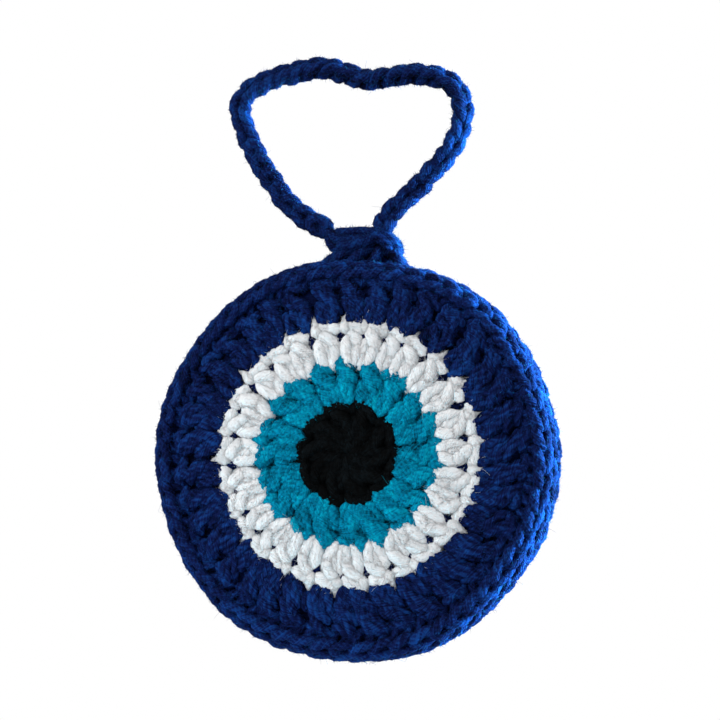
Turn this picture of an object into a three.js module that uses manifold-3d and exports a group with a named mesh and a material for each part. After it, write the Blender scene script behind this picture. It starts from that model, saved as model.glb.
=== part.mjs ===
// A crocheted evil eye ornament: two round worsted-yarn faces joined over stuffing, and a chain loop to hang it by.
// Millimetres. +Z is up, +X is to the right, and the front face looks along -Y.
// The origin is where a hook carries the loop: the inside of its top, straight above the middle of the disc.

import * as THREE from 'three';
import { mergeVertices } from 'three/addons/utils/BufferGeometryUtils.js';
import Module from 'manifold-3d';

// Driving dimensions of the disc: radii from its middle, distances from its mid-plane
const DISC_DROP = 93.8;
const DISC_RADIUS = 50.0;
const PUPIL_RADIUS = 12.0;
const IRIS_RADIUS = 22.2;
const WHITE_RADIUS = 32.0;
const BLUE_RADIUS = 43.9;
const HALF_THICKNESS = 11.0;
const CROWN_FALL = 2.2;
const FABRIC_THICKNESS = 4.6;
const YARN_SHOULDER = 1.2;
const GAP = 0.3;
const AROUND = 40;

// The two edge rounds and the joining round between them, each an oval cord bent to a ring
const EDGE_ROUND = { middle: 46.5, reach: 2.45, offset: 6.3, halfWidth: 2.65, sides: 9 };
const JOINING_ROUND = { middle: 46.9, reach: 3.1, offset: 0, halfWidth: 3.3, sides: 10 };

// Yarn ends knotted under the rounds: one knot for each change of colour
const KNOT_HALF_SIZE = new THREE.Vector3(2.6, 1.2, 1.7);
const KNOTS = [
  { name: 'pupil_knot', radius: PUPIL_RADIUS, clockwiseDegrees: 58, yarn: 'black' },
  { name: 'iris_knot', radius: IRIS_RADIUS, clockwiseDegrees: 44, yarn: 'teal' },
  { name: 'white_knot', radius: WHITE_RADIUS, clockwiseDegrees: 32, yarn: 'white' },
];

// The hanger: a tie that flexes on the rim, the tab above it, and the loop's chain
const TAB_X = 2.8;
const TIE_RADIUS = 1.6;
const TIE_CLEARANCE = 0.35;
const TIE_HEIGHT = DISC_RADIUS + TIE_RADIUS + TIE_CLEARANCE;
const TAB_HALF_WIDTH = 8.2;
const TAB_HALF_DEPTH = 3.0;
const TAB_BOWL_DEPTH = 1.6;
const TAB_TOP = 55.8;
const CHAIN_RADIUS = 2.7;
const CHAIN_SIDES = 10;
const CHAIN_STEPS = 40;

// The chain's route from the tab's left shoulder round to its right one: x, and height above the disc's middle
const LOOP_ROUTE = [
  [-7.6, 57.9], [-12.2, 60.4], [-17.9, 65.2], [-22.4, 71.5], [-26.1, 77.8], [-28.7, 83.6], [-30.1, 89.2],
  [-28.8, 93.5], [-24.4, 96.3], [-16.8, 98.5], [-8.9, 99.4], [-2.8, 97.7], [2.2, 95.8], [6.8, 96.1],
  [12.8, 96.6], [19.5, 95.9], [24.1, 93.5], [26.4, 90.2], [27.1, 86.2], [26.2, 81.8], [24.0, 77.0],
  [20.4, 72.4], [15.3, 66.8], [10.4, 62.3], [7.8, 58.9], [7.4, 56.2],
];

const COLOURS = { black: 0x0b0d10, teal: 0x0a93b4, white: 0xe4e2e6, blue: 0x0c2f86, filling: 0xf1efe9 };

const wasm = await Module();
wasm.setup();

const ornament = new THREE.Group();

function yarn(colour) {
  return new THREE.MeshStandardMaterial({ color: COLOURS[colour], roughness: 0.95, metalness: 0 });
}

function addPiece(group, name, geometry, colour) {
  const mesh = new THREE.Mesh(geometry, yarn(colour));
  mesh.name = name;
  group.add(mesh);
  return mesh;
}

// Distance of a face's outer surface from the mid-plane: flat over the pupil, then falling as a parabola
function crown(radius) {
  const outward = Math.max(0, radius - PUPIL_RADIUS) / (BLUE_RADIUS - PUPIL_RADIUS);
  return HALF_THICKNESS - CROWN_FALL * outward ** 2;
}

// Turns [radius, y] pairs about the Y axis
function turned(pairs) {
  const profile = pairs.map(([radius, y]) => new THREE.Vector2(radius, y));
  return new THREE.LatheGeometry(profile, AROUND);
}

// The first round of a face: a flat round patch with a yarn-soft shoulder
function pupilGeometry() {
  const rim = PUPIL_RADIUS - GAP / 2;
  const lining = FABRIC_THICKNESS - HALF_THICKNESS;
  return turned([
    [0, -HALF_THICKNESS],
    [rim - YARN_SHOULDER, -HALF_THICKNESS],
    [rim, YARN_SHOULDER - HALF_THICKNESS],
    [rim, lining],
    [0, lining],
  ]);
}

// A later round: a band of fabric from one radius to another, its outer side following the crown
function roundGeometry(innerRadius, outerRadius) {
  const inner = innerRadius + GAP / 2;
  const outer = outerRadius - GAP / 2;
  const middle = (inner + outer) / 2;
  const start = [inner, FABRIC_THICKNESS - crown(inner)];
  return turned([
    start,
    [inner, YARN_SHOULDER - crown(inner)],
    [inner + YARN_SHOULDER, -crown(inner + YARN_SHOULDER)],
    [middle, -crown(middle)],
    [outer - YARN_SHOULDER, -crown(outer - YARN_SHOULDER)],
    [outer, YARN_SHOULDER - crown(outer)],
    [outer, FABRIC_THICKNESS - crown(outer)],
    start,
  ]);
}

// A round of edging: an oval section turned about the disc's axis
function cordRing({ middle, reach, offset, halfWidth, sides }) {
  const section = [];
  for (let i = 0; i < sides; i += 1) {
    const angle = (2 * Math.PI * i) / sides;
    section.push([middle + reach * Math.cos(angle), halfWidth * Math.sin(angle) - offset]);
  }
  return turned([...section, section[0]]);
}

// Where a knot lies under the front face, just inside the fabric
function knotPlace({ radius, clockwiseDegrees }) {
  const angle = THREE.MathUtils.degToRad(clockwiseDegrees);
  const lining = crown(radius + KNOT_HALF_SIZE.x) - FABRIC_THICKNESS;
  const depth = lining - GAP - KNOT_HALF_SIZE.y;
  return new THREE.Vector3(radius * Math.sin(angle), -depth, radius * Math.cos(angle));
}

// An oval lump, grown on every side by a margin
function lump(margin) {
  const geometry = new THREE.SphereGeometry(1, 12, 8);
  const { x, y, z } = KNOT_HALF_SIZE;
  return geometry.scale(x + margin, y + margin, z + margin);
}

// One face's rounds and knots, drawn as the front one; the back face is the same, turned half round about Z
function addFace(prefix, turn) {
  const face = new THREE.Group();
  face.rotation.z = turn;
  addPiece(face, `${prefix}_pupil`, pupilGeometry(), 'black');
  addPiece(face, `${prefix}_iris`, roundGeometry(PUPIL_RADIUS, IRIS_RADIUS), 'teal');
  addPiece(face, `${prefix}_white_round`, roundGeometry(IRIS_RADIUS, WHITE_RADIUS), 'white');
  addPiece(face, `${prefix}_blue_round`, roundGeometry(WHITE_RADIUS, BLUE_RADIUS), 'blue');
  addPiece(face, `${prefix}_edge_round`, cordRing(EDGE_ROUND), 'blue');
  for (const knot of KNOTS) {
    addPiece(face, `${prefix}_${knot.name}`, lump(0), knot.yarn).position.copy(knotPlace(knot));
  }
  disc.add(face);
}

function toSolid(geometry) {
  const bare = geometry.clone();
  bare.deleteAttribute('normal');
  bare.deleteAttribute('uv');
  const merged = mergeVertices(bare, 1e-3);
  return new wasm.Manifold(new wasm.Mesh({
    numProp: 3,
    vertProperties: new Float32Array(merged.attributes.position.array),
    triVerts: new Uint32Array(merged.index.array),
  }));
}

function toGeometry(solid) {
  const mesh = solid.getMesh();
  const geometry = new THREE.BufferGeometry();
  geometry.setAttribute('position', new THREE.BufferAttribute(mesh.vertProperties, 3));
  geometry.setIndex(new THREE.BufferAttribute(mesh.triVerts, 1));
  geometry.computeVertexNormals();
  return geometry;
}

// The filling: a lens that stops short of the fabric, with a pocket pressed into it by each knot
function stuffingGeometry() {
  const brim = JOINING_ROUND.middle - JOINING_ROUND.reach - GAP;
  const thickness = (radius) => crown(radius) - FABRIC_THICKNESS - GAP;
  const radii = [0, PUPIL_RADIUS, IRIS_RADIUS, WHITE_RADIUS, brim - 2];
  const front = radii.map((radius) => [radius, -thickness(radius)]);
  const back = radii.map((radius) => [radius, thickness(radius)]).reverse();
  const side = thickness(brim) / 2;
  let filling = toSolid(turned([...front, [brim, -side], [brim, side], ...back]));
  for (const turn of [0, Math.PI]) {
    for (const knot of KNOTS) {
      const place = knotPlace(knot).applyAxisAngle(new THREE.Vector3(0, 0, 1), turn);
      const pocket = lump(GAP).rotateZ(turn).translate(place.x, place.y, place.z);
      filling = filling.subtract(toSolid(pocket));
    }
  }
  return toGeometry(filling);
}

// The tab: an oval bowl with a flat top, round underneath so that the rim can tip against it
function tabGeometry() {
  const bottom = TIE_HEIGHT + TIE_RADIUS + TIE_CLEARANCE;
  const profile = [];
  const steps = 5;
  for (let i = 0; i <= steps; i += 1) {
    const angle = (Math.PI / 2) * (i / steps);
    const height = bottom + TAB_BOWL_DEPTH * (1 - Math.cos(angle));
    profile.push(new THREE.Vector2(TAB_HALF_WIDTH * Math.sin(angle), height));
  }
  profile.push(new THREE.Vector2(TAB_HALF_WIDTH, TAB_TOP), new THREE.Vector2(0, TAB_TOP));
  const geometry = new THREE.LatheGeometry(profile, AROUND / 2);
  return geometry.rotateX(Math.PI / 2).scale(1, TAB_HALF_DEPTH / TAB_HALF_WIDTH, 1);
}

// The chain as a plain tube along its route
function loopGeometry() {
  const route = new THREE.CatmullRomCurve3(LOOP_ROUTE.map(([x, z]) => new THREE.Vector3(x, 0, z)));
  const section = new THREE.Shape();
  for (let i = 0; i < CHAIN_SIDES; i += 1) {
    const angle = (2 * Math.PI * i) / CHAIN_SIDES;
    const x = CHAIN_RADIUS * Math.cos(angle);
    const y = CHAIN_RADIUS * Math.sin(angle);
    if (i === 0) section.moveTo(x, y);
    else section.lineTo(x, y);
  }
  section.closePath();
  return new THREE.ExtrudeGeometry(section, { extrudePath: route, steps: CHAIN_STEPS, bevelEnabled: false });
}

const disc = new THREE.Group();
disc.position.z = -DISC_DROP;
addFace('front', 0);
addFace('back', Math.PI);
addPiece(disc, 'joining_round', cordRing(JOINING_ROUND), 'blue');
addPiece(disc, 'stuffing', stuffingGeometry(), 'filling');
ornament.add(disc);

const hanger = new THREE.Group();
hanger.position.z = -DISC_DROP;
addPiece(hanger, 'tab_tie', new THREE.SphereGeometry(TIE_RADIUS, 12, 8), 'blue').position.set(TAB_X, 0, TIE_HEIGHT);
addPiece(hanger, 'hanger_tab', tabGeometry(), 'blue').position.x = TAB_X;
addPiece(hanger, 'hanging_loop', loopGeometry(), 'blue');
ornament.add(hanger);

export default ornament;
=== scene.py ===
"""A crocheted evil eye ornament: a stuffed yarn disc on a chain-stitch hanging loop.

Lengths in this file are millimetres until a mesh is written, which is in metres.
A place on the disc is a radius, an angle in degrees clockwise from the top, and a lift
above the fabric's smooth outer surface. The front face looks along -Y.
"""

import logging
import math
from dataclasses import dataclass, field
from enum import Enum

import bpy
import numpy as np
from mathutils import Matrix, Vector


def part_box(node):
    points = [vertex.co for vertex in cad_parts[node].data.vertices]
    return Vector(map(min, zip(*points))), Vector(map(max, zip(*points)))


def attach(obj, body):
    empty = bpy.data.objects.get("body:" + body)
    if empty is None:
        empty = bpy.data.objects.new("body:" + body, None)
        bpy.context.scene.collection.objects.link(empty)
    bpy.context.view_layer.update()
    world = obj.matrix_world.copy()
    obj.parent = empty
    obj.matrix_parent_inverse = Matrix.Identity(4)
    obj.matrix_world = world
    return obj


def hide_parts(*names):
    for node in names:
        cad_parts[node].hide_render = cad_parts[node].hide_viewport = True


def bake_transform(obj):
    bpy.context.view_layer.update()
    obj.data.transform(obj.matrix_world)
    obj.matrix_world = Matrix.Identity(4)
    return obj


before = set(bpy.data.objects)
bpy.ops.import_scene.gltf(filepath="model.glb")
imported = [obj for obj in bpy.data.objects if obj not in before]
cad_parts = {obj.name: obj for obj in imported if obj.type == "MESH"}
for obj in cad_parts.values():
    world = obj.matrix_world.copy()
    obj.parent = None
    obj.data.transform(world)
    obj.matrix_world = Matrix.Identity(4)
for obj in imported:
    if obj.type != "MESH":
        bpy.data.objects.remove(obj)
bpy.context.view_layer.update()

LOG = logging.getLogger("ornament")
MILLIMETRE = 0.001
DISC_CENTRE = np.array([0.0, 0.0, -93.8])
SEED = 4107


class Yarn(Enum):
    """The yarn colours, by the name of their material slot."""

    BLACK = "black_yarn"
    TEAL = "teal_yarn"
    WHITE = "white_yarn"
    BLUE = "blue_yarn"
    FILLING = "fibre_filling"


class Side(Enum):
    """The two faces of the disc, as the turn about Z that brings the front one there."""

    FRONT = 0
    BACK = 180


def spline_weights(count: int, samples: int) -> np.ndarray:
    """Weights of a curve that passes through its control points.

    Between two neighbours the curve is the cubic that leaves each of them in the
    direction from the one before to the one after.

    Args:
        count: how many control points.
        samples: how many points along the curve.

    Returns:
        A samples by count matrix; its product with the control points is the curve.
    """
    t = np.linspace(0, count - 1, samples)
    cell = np.minimum(np.floor(t).astype(int), count - 2)
    f = t - cell
    index = np.clip(cell[:, None] + np.arange(-1, 3), 0, count - 1)
    cubic = np.stack(
        [-f + 2 * f**2 - f**3, 2 - 5 * f**2 + 3 * f**3, f + 4 * f**2 - 3 * f**3, f**3 - f**2],
        axis=1,
    ) / 2
    weights = np.zeros((samples, count))
    np.add.at(weights, (np.arange(samples)[:, None], index), cubic)
    return weights


def unit(v: np.ndarray) -> np.ndarray:
    """Vectors divided by their own lengths."""
    return v / np.maximum(np.linalg.norm(v, axis=-1, keepdims=True), 1e-9)


@dataclass
class Bundle:
    """Strands of one yarn that share a number of points, as whole arrays.

    Attributes:
        path: N by K by 3 centre lines.
        out: N by K by 3 directions that face away from the fabric.
        radius: N by K radii.
        tone: one shade per strand, darker below nought and lighter above it.
    """

    path: np.ndarray
    out: np.ndarray
    radius: np.ndarray
    tone: np.ndarray


@dataclass(frozen=True)
class Ply:
    """How a strand is spun.

    Attributes:
        count: plies that show round the strand.
        pitch: length in which a ply goes round once.
        depth: height of a ply over the hollow beside it, as a share of the radius.
        sides: faces round the strand.
        flatten: thickness as a share of the width.
    """

    count: int = 4
    pitch: float = 9.5
    depth: float = 0.1
    sides: int = 12
    flatten: float = 0.92


class YarnMesh:
    """Gathers strands, bands and loose fibres, and writes them as one mesh piece."""

    def __init__(self, ply: Ply, seed: int) -> None:
        """Starts an empty piece.

        Args:
            ply: how its strands are spun.
            seed: start of its random numbers.
        """
        self.ply = ply
        self.random = np.random.default_rng(seed)
        self.verts: list[np.ndarray] = []
        self.faces: list[tuple[np.ndarray, np.ndarray]] = []
        self.uv: list[np.ndarray] = []
        self.bake: list[np.ndarray] = []
        self.tone: list[np.ndarray] = []
        self.painted_strand_shade: list[np.ndarray] = []
        self.skins: list[tuple[np.ndarray, np.ndarray, np.ndarray]] = []
        self.cells = 0
        self.vertex_count = 0

    def _tubes(self, rings: np.ndarray, uv: np.ndarray, tone: np.ndarray, painted_strand_shade: np.ndarray,
               shared_cell: bool = False, endless: bool = False) -> None:
        """Joins rings of points into closed tubes.

        Each ring is linked to the next by four-sided faces. The first and last rings are
        closed by one face each, or are linked to each other in an endless tube.

        Args:
            rings: N by K by S by 3 points.
            uv: N by K by S+1 by 2 fibre coordinates.
            tone: N shades.
            painted_strand_shade: N by K by S values of painted shade and highlight: the heights of the
                plies, with each strand's flanks darker and its outward crest lighter.
            shared_cell: whether all the tubes take one place in the baking map.
            endless: whether each tube closes on itself.
        """
        n, k, s = rings.shape[:3]
        ring, links = np.arange(s), k if endless else k - 1
        tube = np.arange(n)[:, None, None] * k * s
        row = np.arange(links)[None, :, None]
        here, there = tube + row * s, tube + (row + 1) % k * s
        after = (ring + 1) % s
        quads = np.stack([here + ring, here + after, there + after, there + ring], axis=-1)
        first = np.arange(n)[:, None] * k * s + ring[::-1]
        last = np.arange(n)[:, None] * k * s + (k - 1) * s + ring
        caps = np.concatenate([first, last])[:0 if endless else None]
        self.verts.append(rings.reshape(-1, 3))
        self.faces.append((quads.reshape(-1, 4) + self.vertex_count, caps + self.vertex_count))
        around = np.stack([ring, ring + 1, ring + 1, ring], axis=-1)
        along = np.array([0, 0, 1, 1])

        def corners(values: np.ndarray) -> np.ndarray:
            """The value at each corner of each face, caps last."""
            rows = np.arange(links)[:, None, None] + along
            wall = values[:, rows, around[None]].reshape(-1, values.shape[-1])
            ends = np.concatenate([values[:, 0, :s][:, ::-1], values[:, -1, :s]])
            ends = ends[:0 if endless else None]
            return np.concatenate([wall, ends.reshape(-1, values.shape[-1])])

        self.uv.append(corners(uv))
        cell = np.full(n, self.cells) if shared_cell else self.cells + np.arange(n)
        self.cells += 1 if shared_cell else n
        place = np.empty((n, links + 1, s + 1, 3))
        place[..., 0] = np.linspace(0, 1, links + 1)[None, :, None]
        place[..., 1] = np.linspace(0, 1, s + 1)
        place[..., 2] = cell[:, None, None]
        self.bake.append(corners(place))
        self.tone.append(np.repeat(tone, k * s))
        self.painted_strand_shade.append(painted_strand_shade.reshape(-1))
        self.vertex_count += n * k * s

    def add(self, bundle: Bundle) -> None:
        """Adds strands.

        A strand's skin is its centre line plus, at each angle round it, the radius times
        one and a cosine of the ply count times the angle, turned steadily along the
        strand so that the plies wind down to the right. The radius closes at both ends
        as a half circle does.

        Args:
            bundle: the strands.
        """
        ply, path = self.ply, bundle.path
        n, k = path.shape[:2]
        along = unit(np.gradient(path, axis=1))
        side = unit(np.cross(along, bundle.out))
        up = np.cross(side, along)
        step = np.linalg.norm(np.diff(path, axis=1), axis=-1)
        s = np.concatenate([np.zeros((n, 1)), np.cumsum(step, axis=1)], axis=1)
        total = s[:, -1:]
        to_end = np.minimum(s, total - s) / bundle.radius
        close = np.sqrt(np.clip(1 - (1 - np.minimum(to_end, 1)) ** 2, 0.012, 1))
        radius = (bundle.radius * close)[:, :, None]
        phi = np.linspace(0, 2 * math.pi, ply.sides, endpoint=False) + math.pi
        start = self.random.uniform(0, 2 * math.pi, (n, 1, 1))
        wind = phi + 2 * math.pi * s[:, :, None] / ply.pitch + start
        ridge = np.cos(ply.count * wind)
        ridge = ridge - 0.35 * ridge**2
        skin = radius * (1 + ply.depth * ridge)
        cross = (np.sin(phi)[:, None] * side[:, :, None]
                 + ply.flatten * np.cos(phi)[:, None] * up[:, :, None])
        rings = path[:, :, None] + skin[..., None] * cross
        angle = np.linspace(0, 2 * math.pi, ply.sides + 1) + math.pi
        u = s[:, :, None] + start * 7 + 0 * angle
        girth = bundle.radius[:, :, None]
        v = angle * girth + 2 * math.pi * girth / ply.pitch * s[:, :, None]
        # Painted shade and highlight: darker in the ply grooves and on the strand's flanks, lighter on
        # its outward crest, as light falls on a round strand.
        painted_flank_shade = 1.5 * (np.cos(phi) - 0.75) + 0 * ridge
        self._tubes(rings, np.stack([u, v], axis=-1), bundle.tone, ridge + painted_flank_shade)
        self.skins.append((rings, unit(cross), along[:, :, None] + 0 * rings))

    def band(self, inner: float, outer: float, depth: tuple[float, float], side: Side,
             tone: float, around: int = 96) -> None:
        """Adds the flat backing that closes the gaps between strands.

        It is the fabric's surface of revolution between two radii, from one depth below
        the outer surface to another, as a closed ring.

        Args:
            inner: inner radius.
            outer: outer radius.
            depth: how far its top and its underside lie below the fabric's surface.
            side: which face it belongs to.
            tone: how dark it is; a low tone paints shade where it shows in the gaps.
            around: steps round the disc.
        """
        t = np.linspace(0, 2 * math.pi, 12, endpoint=False)
        radius = (inner + outer) / 2 + (outer - inner) / 2 * np.clip(1.5 * np.cos(t), -1, 1)
        lift = -np.mean(depth) + (depth[1] - depth[0]) / 2 * np.clip(1.5 * np.sin(t), -1, 1)
        degrees = np.linspace(0, 360, around + 1)
        rings = disc_place(radius[None, :], degrees[:-1, None], lift[None, :], side)
        u = np.radians(degrees)[:, None] * outer + 0 * np.arange(len(t) + 1)
        v = np.linspace(0, 2 * (outer - inner), len(t) + 1) + 0 * u
        self._tubes(rings[None], np.stack([u, v], axis=-1)[None], np.array([tone]),
                    np.zeros((1, around, len(t))), endless=True)

    def fuzz(self, count: int, length: float, thickness: float = 0.055, facing: float = -0.05) -> None:
        """Adds loose fibres that stand off the strands: short straight ones, and a few long bent ones.

        Args:
            count: how many short ones.
            length: their middle length.
            thickness: radius at the root.
            facing: the least share of its strand's outward direction that a root's has.
        """
        self.short_fibres(count, length, thickness, facing)
        self.long_fibres(count // 22, 1.7 * length, 0.65 * thickness, facing)

    def roots(self, count: int, facing: float) -> tuple[np.ndarray, np.ndarray, np.ndarray]:
        """Draws places on the strands' skins for fibres to stand on.

        Args:
            count: how many.
            facing: the least share of its strand's outward direction that a root's has.

        Returns:
            The places, and the fibres' starting and second directions. A fibre starts
            partly away from the skin and partly along the ply.
        """
        draw = self.random
        sizes = np.array([r.shape[0] * r.shape[1] * r.shape[2] for r, _, _ in self.skins], float)
        shares = np.maximum(1, (count * sizes / sizes.sum()).astype(int))
        roots, normals, alongs = [], [], []
        for (rings, cross, along), share in zip(self.skins, shares):
            n, k, s = rings.shape[:3]
            phi = np.arange(s) / s * 2 * math.pi + math.pi
            allowed = np.nonzero(np.cos(phi) > facing)[0]
            i, j = draw.integers(0, n, share), draw.integers(1, k - 1, share)
            m, f = allowed[draw.integers(0, len(allowed), share)], draw.uniform(0, 1, (share, 1))
            roots.append(rings[i, j, m] * f + rings[i, j - 1, m] * (1 - f))
            normals.append(cross[i, j, m])
            alongs.append(along[i, j, m])
        root, normal, along = (np.concatenate(x) for x in (roots, normals, alongs))
        number = len(root)
        lay = along * draw.choice([-1, 1], (number, 1)) - 0.8 * np.cross(normal, along)
        way = unit(normal * draw.uniform(0.1, 0.9, (number, 1))
                   + lay * draw.uniform(0.3, 1.0, (number, 1))
                   + draw.normal(0, 0.3, (number, 3)))
        return root, way, draw.normal(0, 0.6, (number, 3))

    def short_fibres(self, count: int, length: float, thickness: float, facing: float) -> None:
        """Adds straight fibres, each a spike on a three-sided foot.

        Args:
            count: how many.
            length: middle length.
            thickness: radius at the root.
            facing: the least share of its strand's outward direction that a root's has.
        """
        root, way, _ = self.roots(count, facing)
        n, draw = len(root), self.random
        long = length * np.clip(draw.lognormal(0, 0.4, (n, 1)), 0.4, 2.0)
        one = unit(np.cross(way, np.array([0.3, 0.8, 0.52])))
        two = np.cross(way, one)
        phi = np.arange(3) * 2 * math.pi / 3
        foot = (root - 0.08 * way)[:, None] + thickness * (np.cos(phi)[:, None] * one[:, None]
                                                           + np.sin(phi)[:, None] * two[:, None])
        points = np.concatenate([foot, (root + long * way)[:, None]], axis=1)
        corner = np.array([(0, 1, 3), (1, 2, 3), (2, 0, 3), (2, 1, 0)])
        faces = (np.arange(n)[:, None, None] * 4 + corner + self.vertex_count).reshape(-1, 3)
        self.verts.append(points.reshape(-1, 3))
        self.faces.append((faces, faces[:0]))
        high = (corner == 3).astype(float)
        u = high * 2 + draw.uniform(0, 40, (n, 1, 1))
        self.uv.append(np.stack([u, 0 * u], axis=-1).reshape(-1, 2))
        place = np.stack([0 * u + high, 0 * u + np.arange(3) / 3, 0 * u + self.cells], axis=-1)
        self.bake.append(place.reshape(-1, 3))
        self.cells += 1
        # Loose fibres toned lighter on average (-0.8 to 2.6): painted sheen on the fuzz, with a random
        # spread.
        self.tone.append(np.repeat(draw.uniform(-0.8, 2.6, n), 4))
        self.painted_strand_shade.append(np.zeros(4 * n))
        self.vertex_count += 4 * n

    def long_fibres(self, count: int, length: float, thickness: float, facing: float) -> None:
        """Adds bent fibres.

        Each is a parabola: a step in its starting direction plus a growing step in a
        second one. Its three-sided section narrows to its tip.

        Args:
            count: how many.
            length: middle length.
            thickness: radius at the root.
            facing: the least share of its strand's outward direction that a root's has.
        """
        root, way, bend = self.roots(count, facing)
        number, draw, steps = len(root), self.random, np.array([-0.06, 0.45, 1.0])
        long = length * np.clip(draw.lognormal(0, 0.4, (number, 1)), 0.4, 2.0)
        t = steps[None, :, None]
        path = root[:, None] + long[:, None] * (t * way[:, None] + t**2 * 0.5 * bend[:, None])
        tangent = unit(np.gradient(path, axis=1))
        one = unit(np.cross(tangent, np.array([0.3, 0.8, 0.52])))
        two = np.cross(tangent, one)
        phi = np.arange(3) * 2 * math.pi / 3
        radius = (thickness * (1 - 0.6 * steps))[None, :, None, None]
        rings = path[:, :, None] + radius * (np.cos(phi)[:, None] * one[:, :, None]
                                             + np.sin(phi)[:, None] * two[:, :, None])
        uv = np.zeros((number, len(steps), 4, 2))
        uv[..., 0] = t[..., 0][..., None] * 2 + draw.uniform(0, 40, (number, 1, 1))
        painted_strand_shade = np.zeros((number, len(steps), 3))
        # Loose fibres toned lighter on average (-0.8 to 2.6): painted sheen on the fuzz, with a random
        # spread.
        self._tubes(rings, uv, draw.uniform(-0.8, 2.6, number), painted_strand_shade, True)

    def piece(self, name: str) -> bpy.types.Object:
        """Writes the gathered arrays as one mesh object.

        Its map Fibre runs along and across the fibres, and its map OFBake gives each
        strand a cell of its own in a square grid.

        Args:
            name: the object's name.

        Returns:
            The object, at the origin.
        """
        loops, totals = [], []
        for wall, caps in self.faces:
            loops += [wall.reshape(-1), caps.reshape(-1)]
            totals += [np.full(len(wall), wall.shape[1]), np.full(len(caps), caps.shape[1])]
        loops, totals = np.concatenate(loops).astype(np.int32), np.concatenate(totals).astype(np.int32)
        mesh = bpy.data.meshes.new(name)
        verts = np.concatenate(self.verts) * MILLIMETRE
        mesh.vertices.add(len(verts))
        mesh.vertices.foreach_set("co", verts.astype(np.float32).ravel())
        mesh.loops.add(len(loops))
        mesh.loops.foreach_set("vertex_index", loops)
        mesh.polygons.add(len(totals))
        starts = np.concatenate([[0], np.cumsum(totals)[:-1]]).astype(np.int32)
        mesh.polygons.foreach_set("loop_start", starts)
        mesh.polygons.foreach_set("use_smooth", np.ones(len(totals), bool))
        mesh.update(calc_edges=True)
        fibre = mesh.uv_layers.new(name="Fibre")
        fibre.data.foreach_set("uv", np.concatenate(self.uv).astype(np.float32).ravel())
        place = np.concatenate(self.bake)
        wide = math.ceil(math.sqrt(self.cells))
        margin = 0.04
        x = (place[:, 2] % wide + margin + (1 - 2 * margin) * place[:, 0]) / wide
        y = (place[:, 2] // wide + margin + (1 - 2 * margin) * place[:, 1]) / wide
        bake = mesh.uv_layers.new(name="OFBake")
        bake.data.foreach_set("uv", np.stack([x, y], axis=1).astype(np.float32).ravel())
        for label, values in (("tone", self.tone), ("painted_strand_shade", self.painted_strand_shade)):
            layer = mesh.attributes.new(label, "FLOAT", "POINT")
            layer.data.foreach_set("value", np.concatenate(values).astype(np.float32))
        obj = bpy.data.objects.new(name, mesh)
        bpy.context.scene.collection.objects.link(obj)
        LOG.info("%s: %d triangles", name, int((totals - 2).sum()))
        return obj


def crown(radius: np.ndarray) -> np.ndarray:
    """Distance of the fabric's outer surface from the mid-plane: level, then a parabola down."""
    return 11.0 - 2.2 * (np.maximum(0, radius - 12.0) / 31.9) ** 2


def disc_place(radius: np.ndarray, degrees: np.ndarray, lift: np.ndarray, side: Side) -> np.ndarray:
    """Points on a face of the disc.

    Args:
        radius: distance from the disc's axis.
        degrees: angle clockwise from the top, as the face is seen.
        lift: height over the fabric's surface.
        side: which face.

    Returns:
        Points in the frame, in millimetres.
    """
    a = np.radians(degrees)
    x, y, z = radius * np.sin(a), -(crown(radius) + lift), radius * np.cos(a)
    turn = math.cos(math.radians(side.value))
    return np.stack(np.broadcast_arrays(turn * x, turn * y, z), axis=-1) + DISC_CENTRE


def disc_outward(radius: np.ndarray, degrees: np.ndarray, side: Side) -> np.ndarray:
    """Unit directions away from the fabric at a place on a face."""
    a = np.radians(degrees)
    slope = 0.0043 * np.maximum(0, radius - 12.0)
    turn = math.cos(math.radians(side.value))
    parts = np.broadcast_arrays(turn * slope * np.sin(a), -turn + 0 * a, slope * np.cos(a))
    return unit(np.stack(parts, axis=-1))


class Stitch(Enum):
    """The strands that show in one stitch, each by five places in the stitch's own grid.

    A place is half-widths across, a share of the way from base to head, and a lift.
    """

    SMOOTH = (
        ((0.05, -0.04, -1.7), (-0.30, 0.03, 0.0), (-0.60, 0.24, 0.25),
         (-0.64, 0.54, 0.1), (-0.5, 0.86, -1.8)),
        ((-0.05, -0.04, -1.7), (0.30, 0.03, 0.0), (0.60, 0.22, 0.25),
         (0.62, 0.50, 0.1), (0.40, 0.80, -1.8)),
        ((0.95, 0.26, -1.9), (0.74, 0.42, 0.1), (0.28, 0.62, 0.45),
         (-0.26, 0.82, 0.25), (-0.8, 1.04, -1.9)),
        ((-1.3, 0.92, -2.0), (-0.62, 0.98, -0.1), (0.05, 0.96, 0.15),
         (0.66, 0.90, 0.05), (1.3, 0.82, -1.9)),
        ((0.0, 0.12, -1.6), (0.04, 0.28, -0.3), (0.0, 0.48, -0.15),
         (-0.2, 0.66, -0.3), (-0.5, 0.8, -1.8)),
    )
    WRAPPED = (
        ((0.0, -0.05, -1.4), (-0.34, 0.02, 0.0), (-0.58, 0.20, 0.15),
         (-0.68, 0.42, 0.0), (-0.74, 0.62, -1.1)),
        ((0.0, -0.05, -1.4), (0.34, 0.02, 0.0), (0.60, 0.18, 0.2),
         (0.52, 0.40, 0.1), (0.16, 0.62, -1.1)),
        ((0.1, 0.02, -1.3), (0.06, 0.12, 0.1), (-0.02, 0.28, 0.3),
         (-0.18, 0.46, 0.2), (-0.42, 0.64, -1.0)),
        ((0.98, 0.24, -1.4), (0.74, 0.36, 0.1), (0.32, 0.52, 0.5),
         (-0.2, 0.70, 0.25), (-0.72, 0.86, -1.1)),
        ((1.0, 0.50, -1.3), (0.72, 0.61, 0.15), (0.26, 0.76, 0.4),
         (-0.26, 0.91, 0.1), (-0.72, 1.04, -1.1)),
        ((-1.15, 0.90, -1.5), (-0.55, 0.99, -0.3), (0.1, 0.98, 0.05),
         (0.62, 0.92, -0.1), (1.15, 0.84, -1.3)),
    )


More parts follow.
